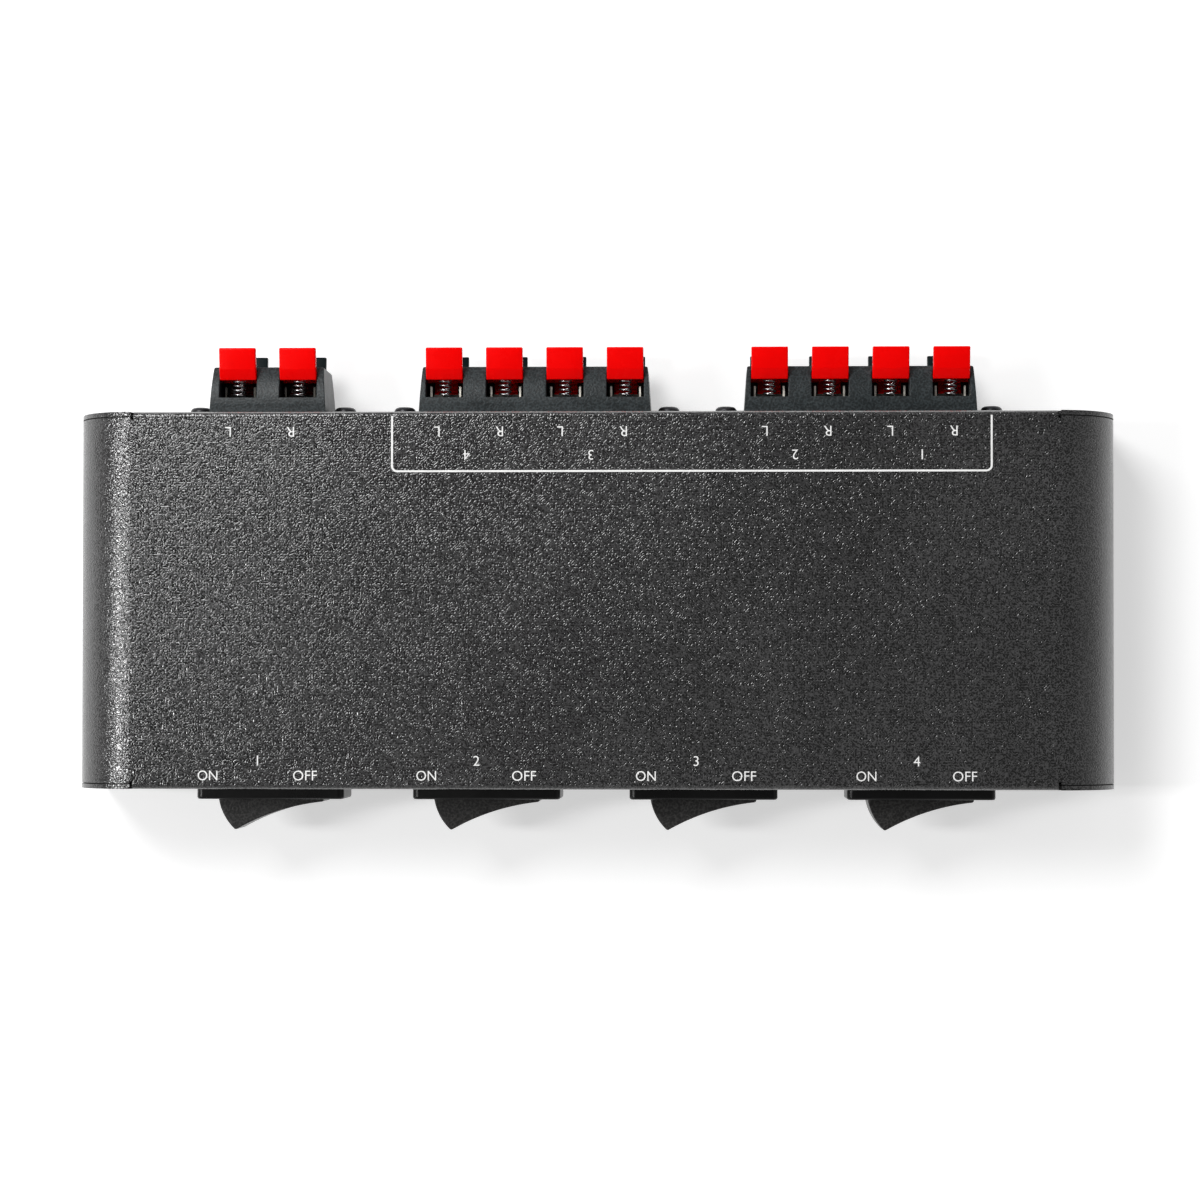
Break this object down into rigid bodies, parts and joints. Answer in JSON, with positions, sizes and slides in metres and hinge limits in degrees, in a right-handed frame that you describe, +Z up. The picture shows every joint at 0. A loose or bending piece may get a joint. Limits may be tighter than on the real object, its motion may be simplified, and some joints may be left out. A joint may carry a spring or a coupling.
{
  "type": "speaker selector switch",
  "caption": "Slim folded-steel box that switches speaker pairs: rocker switches in front, sprung lever terminals for bare wire behind, rubber feet below.",
  "frame": {"origin": "middle of the whole object's box, on the plane that the rubber feet stand on", "axes": "+Z up, +X along the length to the right seen from the front, the rockers face -Y"},
  "size_m": [0.218, 0.1014, 0.0322],
  "materials": {
    "cover_powder_coat": "fine textured dark grey powder coat",
    "base_powder_coat": "dark grey powder coat",
    "foot_rubber": "matt black rubber",
    "blackened_steel": "blackened steel",
    "zinc_steel": "zinc plated steel",
    "terminal_plastic": "dark blue-grey moulded plastic",
    "nickel_plate": "nickel plated strip",
    "spring_steel": "dark spring wire",
    "red_plastic": "bright red moulded plastic",
    "black_lever_plastic": "black moulded plastic",
    "switch_plastic": "black nylon",
    "rocker_plastic": "satin black nylon",
    "plunger_plastic": "natural acetal",
    "tab_brass": "silvered brass",
    "board_laminate": "paper-phenolic board",
    "solder": "tin solder",
    "wire_insulation": "PVC insulation"
  },
  "bodies": {
    "case": {"top_cover": "cover_powder_coat", "base_plate": "base_powder_coat", "rubber_feet": "foot_rubber", "case_screws": "blackened_steel", "input_terminal_block": "terminal_plastic", "centre_terminal_block": "terminal_plastic", "right_terminal_block": "terminal_plastic", "terminal_screws": "blackened_steel", "terminal_nuts": "zinc_steel", "red_contacts": "nickel_plate", "black_contacts": "nickel_plate", "red_springs": "spring_steel", "black_springs": "spring_steel", "switch_housing_1": "switch_plastic", "switch_housing_2": "switch_plastic", "switch_housing_3": "switch_plastic", "switch_housing_4": "switch_plastic", "switch_tabs": "tab_brass", "rear_wiring_board": "board_laminate", "front_wiring_board": "board_laminate", "rear_solder": "solder", "front_solder": "solder", "link_wires": "wire_insulation"},
    "red_lever_1": {"red_lever_1": "red_plastic"},
    "red_lever_2": {"red_lever_2": "red_plastic"},
    "red_lever_3": {"red_lever_3": "red_plastic"},
    "red_lever_4": {"red_lever_4": "red_plastic"},
    "red_lever_5": {"red_lever_5": "red_plastic"},
    "red_lever_6": {"red_lever_6": "red_plastic"},
    "red_lever_7": {"red_lever_7": "red_plastic"},
    "red_lever_8": {"red_lever_8": "red_plastic"},
    "red_lever_9": {"red_lever_9": "red_plastic"},
    "red_lever_10": {"red_lever_10": "red_plastic"},
    "black_lever_1": {"black_lever_1": "black_lever_plastic"},
    "black_lever_2": {"black_lever_2": "black_lever_plastic"},
    "black_lever_3": {"black_lever_3": "black_lever_plastic"},
    "black_lever_4": {"black_lever_4": "black_lever_plastic"},
    "black_lever_5": {"black_lever_5": "black_lever_plastic"},
    "black_lever_6": {"black_lever_6": "black_lever_plastic"},
    "black_lever_7": {"black_lever_7": "black_lever_plastic"},
    "black_lever_8": {"black_lever_8": "black_lever_plastic"},
    "black_lever_9": {"black_lever_9": "black_lever_plastic"},
    "black_lever_10": {"black_lever_10": "black_lever_plastic"},
    "rocker_1": {"rocker_1": "rocker_plastic", "plungers_1": "plunger_plastic"},
    "blades_1": {"blades_1": "tab_brass"},
    "rocker_2": {"rocker_2": "rocker_plastic", "plungers_2": "plunger_plastic"},
    "blades_2": {"blades_2": "tab_brass"},
    "rocker_3": {"rocker_3": "rocker_plastic", "plungers_3": "plunger_plastic"},
    "blades_3": {"blades_3": "tab_brass"},
    "rocker_4": {"rocker_4": "rocker_plastic", "plungers_4": "plunger_plastic"},
    "blades_4": {"blades_4": "tab_brass"}
  },
  "joints": [
    {"name": "red_lever_1_press", "type": "hinge", "parent": "case", "child": "red_lever_1", "pos_m": [-0.0755, 0.0446, 0.018], "axis": [1, 0, 0], "range_deg": [0, 16], "stiffness_Nm_per_rad": 0.05, "springref_deg": -11.46, "deforming": ["red_springs"]},
    {"name": "red_lever_2_press", "type": "hinge", "parent": "case", "child": "red_lever_2", "pos_m": [-0.0628, 0.0446, 0.018], "axis": [1, 0, 0], "range_deg": [0, 16], "stiffness_Nm_per_rad": 0.05, "springref_deg": -11.46, "deforming": ["red_springs"]},
    {"name": "red_lever_3_press", "type": "hinge", "parent": "case", "child": "red_lever_3", "pos_m": [-0.03185, 0.0446, 0.018], "axis": [1, 0, 0], "range_deg": [0, 16], "stiffness_Nm_per_rad": 0.05, "springref_deg": -11.46, "deforming": ["red_springs"]},
    {"name": "red_lever_4_press", "type": "hinge", "parent": "case", "child": "red_lever_4", "pos_m": [-0.01915, 0.0446, 0.018], "axis": [1, 0, 0], "range_deg": [0, 16], "stiffness_Nm_per_rad": 0.05, "springref_deg": -11.46, "deforming": ["red_springs"]},
    {"name": "red_lever_5_press", "type": "hinge", "parent": "case", "child": "red_lever_5", "pos_m": [-0.00645, 0.0446, 0.018], "axis": [1, 0, 0], "range_deg": [0, 16], "stiffness_Nm_per_rad": 0.05, "springref_deg": -11.46, "deforming": ["red_springs"]},
    {"name": "red_lever_6_press", "type": "hinge", "parent": "case", "child": "red_lever_6", "pos_m": [0.00625, 0.0446, 0.018], "axis": [1, 0, 0], "range_deg": [0, 16], "stiffness_Nm_per_rad": 0.05, "springref_deg": -11.46, "deforming": ["red_springs"]},
    {"name": "red_lever_7_press", "type": "hinge", "parent": "case", "child": "red_lever_7", "pos_m": [0.0366, 0.0446, 0.018], "axis": [1, 0, 0], "range_deg": [0, 16], "stiffness_Nm_per_rad": 0.05, "springref_deg": -11.46, "deforming": ["red_springs"]},
    {"name": "red_lever_8_press", "type": "hinge", "parent": "case", "child": "red_lever_8", "pos_m": [0.0493, 0.0446, 0.018], "axis": [1, 0, 0], "range_deg": [0, 16], "stiffness_Nm_per_rad": 0.05, "springref_deg": -11.46, "deforming": ["red_springs"]},
    {"name": "red_lever_9_press", "type": "hinge", "parent": "case", "child": "red_lever_9", "pos_m": [0.062, 0.0446, 0.018], "axis": [1, 0, 0], "range_deg": [0, 16], "stiffness_Nm_per_rad": 0.05, "springref_deg": -11.46, "deforming": ["red_springs"]},
    {"name": "red_lever_10_press", "type": "hinge", "parent": "case", "child": "red_lever_10", "pos_m": [0.0747, 0.0446, 0.018], "axis": [1, 0, 0], "range_deg": [0, 16], "stiffness_Nm_per_rad": 0.05, "springref_deg": -11.46, "deforming": ["red_springs"]},
    {"name": "black_lever_1_press", "type": "hinge", "parent": "case", "child": "black_lever_1", "pos_m": [-0.0755, 0.0446, 0.0148], "axis": [-1, 0, 0], "range_deg": [0, 16], "stiffness_Nm_per_rad": 0.05, "springref_deg": -11.46, "deforming": ["black_springs"]},
    {"name": "black_lever_2_press", "type": "hinge", "parent": "case", "child": "black_lever_2", "pos_m": [-0.0628, 0.0446, 0.0148], "axis": [-1, 0, 0], "range_deg": [0, 16], "stiffness_Nm_per_rad": 0.05, "springref_deg": -11.46, "deforming": ["black_springs"]},
    {"name": "black_lever_3_press", "type": "hinge", "parent": "case", "child": "black_lever_3", "pos_m": [-0.03185, 0.0446, 0.0148], "axis": [-1, 0, 0], "range_deg": [0, 16], "stiffness_Nm_per_rad": 0.05, "springref_deg": -11.46, "deforming": ["black_springs"]},
    {"name": "black_lever_4_press", "type": "hinge", "parent": "case", "child": "black_lever_4", "pos_m": [-0.01915, 0.0446, 0.0148], "axis": [-1, 0, 0], "range_deg": [0, 16], "stiffness_Nm_per_rad": 0.05, "springref_deg": -11.46, "deforming": ["black_springs"]},
    {"name": "black_lever_5_press", "type": "hinge", "parent": "case", "child": "black_lever_5", "pos_m": [-0.00645, 0.0446, 0.0148], "axis": [-1, 0, 0], "range_deg": [0, 16], "stiffness_Nm_per_rad": 0.05, "springref_deg": -11.46, "deforming": ["black_springs"]},
    {"name": "black_lever_6_press", "type": "hinge", "parent": "case", "child": "black_lever_6", "pos_m": [0.00625, 0.0446, 0.0148], "axis": [-1, 0, 0], "range_deg": [0, 16], "stiffness_Nm_per_rad": 0.05, "springref_deg": -11.46, "deforming": ["black_springs"]},
    {"name": "black_lever_7_press", "type": "hinge", "parent": "case", "child": "black_lever_7", "pos_m": [0.0366, 0.0446, 0.0148], "axis": [-1, 0, 0], "range_deg": [0, 16], "stiffness_Nm_per_rad": 0.05, "springref_deg": -11.46, "deforming": ["black_springs"]},
    {"name": "black_lever_8_press", "type": "hinge", "parent": "case", "child": "black_lever_8", "pos_m": [0.0493, 0.0446, 0.0148], "axis": [-1, 0, 0], "range_deg": [0, 16], "stiffness_Nm_per_rad": 0.05, "springref_deg": -11.46, "deforming": ["black_springs"]},
    {"name": "black_lever_9_press", "type": "hinge", "parent": "case", "child": "black_lever_9", "pos_m": [0.062, 0.0446, 0.0148], "axis": [-1, 0, 0], "range_deg": [0, 16], "stiffness_Nm_per_rad": 0.05, "springref_deg": -11.46, "deforming": ["black_springs"]},
    {"name": "black_lever_10_press", "type": "hinge", "parent": "case", "child": "black_lever_10", "pos_m": [0.0747, 0.0446, 0.0148], "axis": [-1, 0, 0], "range_deg": [0, 16], "stiffness_Nm_per_rad": 0.05, "springref_deg": -11.46, "deforming": ["black_springs"]},
    {"name": "rocker_1_switch", "type": "hinge", "parent": "case", "child": "rocker_1", "pos_m": [-0.06825, -0.0425, 0.0184], "axis": [0, 0, -1], "range_deg": [0, 35.6]},
    {"name": "blades_1_rock", "type": "hinge", "parent": "case", "child": "blades_1", "pos_m": [-0.06825, -0.03345, 0.0184], "axis": [0, 0, -1], "range_deg": [-25, 0]},
    {"name": "rocker_2_switch", "type": "hinge", "parent": "case", "child": "rocker_2", "pos_m": [-0.02275, -0.0425, 0.0184], "axis": [0, 0, -1], "range_deg": [0, 35.6]},
    {"name": "blades_2_rock", "type": "hinge", "parent": "case", "child": "blades_2", "pos_m": [-0.02275, -0.03345, 0.0184], "axis": [0, 0, -1], "range_deg": [-25, 0]},
    {"name": "rocker_3_switch", "type": "hinge", "parent": "case", "child": "rocker_3", "pos_m": [0.02275, -0.0425, 0.0184], "axis": [0, 0, -1], "range_deg": [0, 35.6]},
    {"name": "blades_3_rock", "type": "hinge", "parent": "case", "child": "blades_3", "pos_m": [0.02275, -0.03345, 0.0184], "axis": [0, 0, -1], "range_deg": [-25, 0]},
    {"name": "rocker_4_switch", "type": "hinge", "parent": "case", "child": "rocker_4", "pos_m": [0.06825, -0.0425, 0.0184], "axis": [0, 0, -1], "range_deg": [0, 35.6]},
    {"name": "blades_4_rock", "type": "hinge", "parent": "case", "child": "blades_4", "pos_m": [0.06825, -0.03345, 0.0184], "axis": [0, 0, -1], "range_deg": [-25, 0]}
  ],
  "couplings": [
    {"joint": "blades_1_rock", "follows": "rocker_1_switch", "ratio": -0.7},
    {"joint": "blades_2_rock", "follows": "rocker_2_switch", "ratio": -0.7},
    {"joint": "blades_3_rock", "follows": "rocker_3_switch", "ratio": -0.7},
    {"joint": "blades_4_rock", "follows": "rocker_4_switch", "ratio": -0.7}
  ]
}
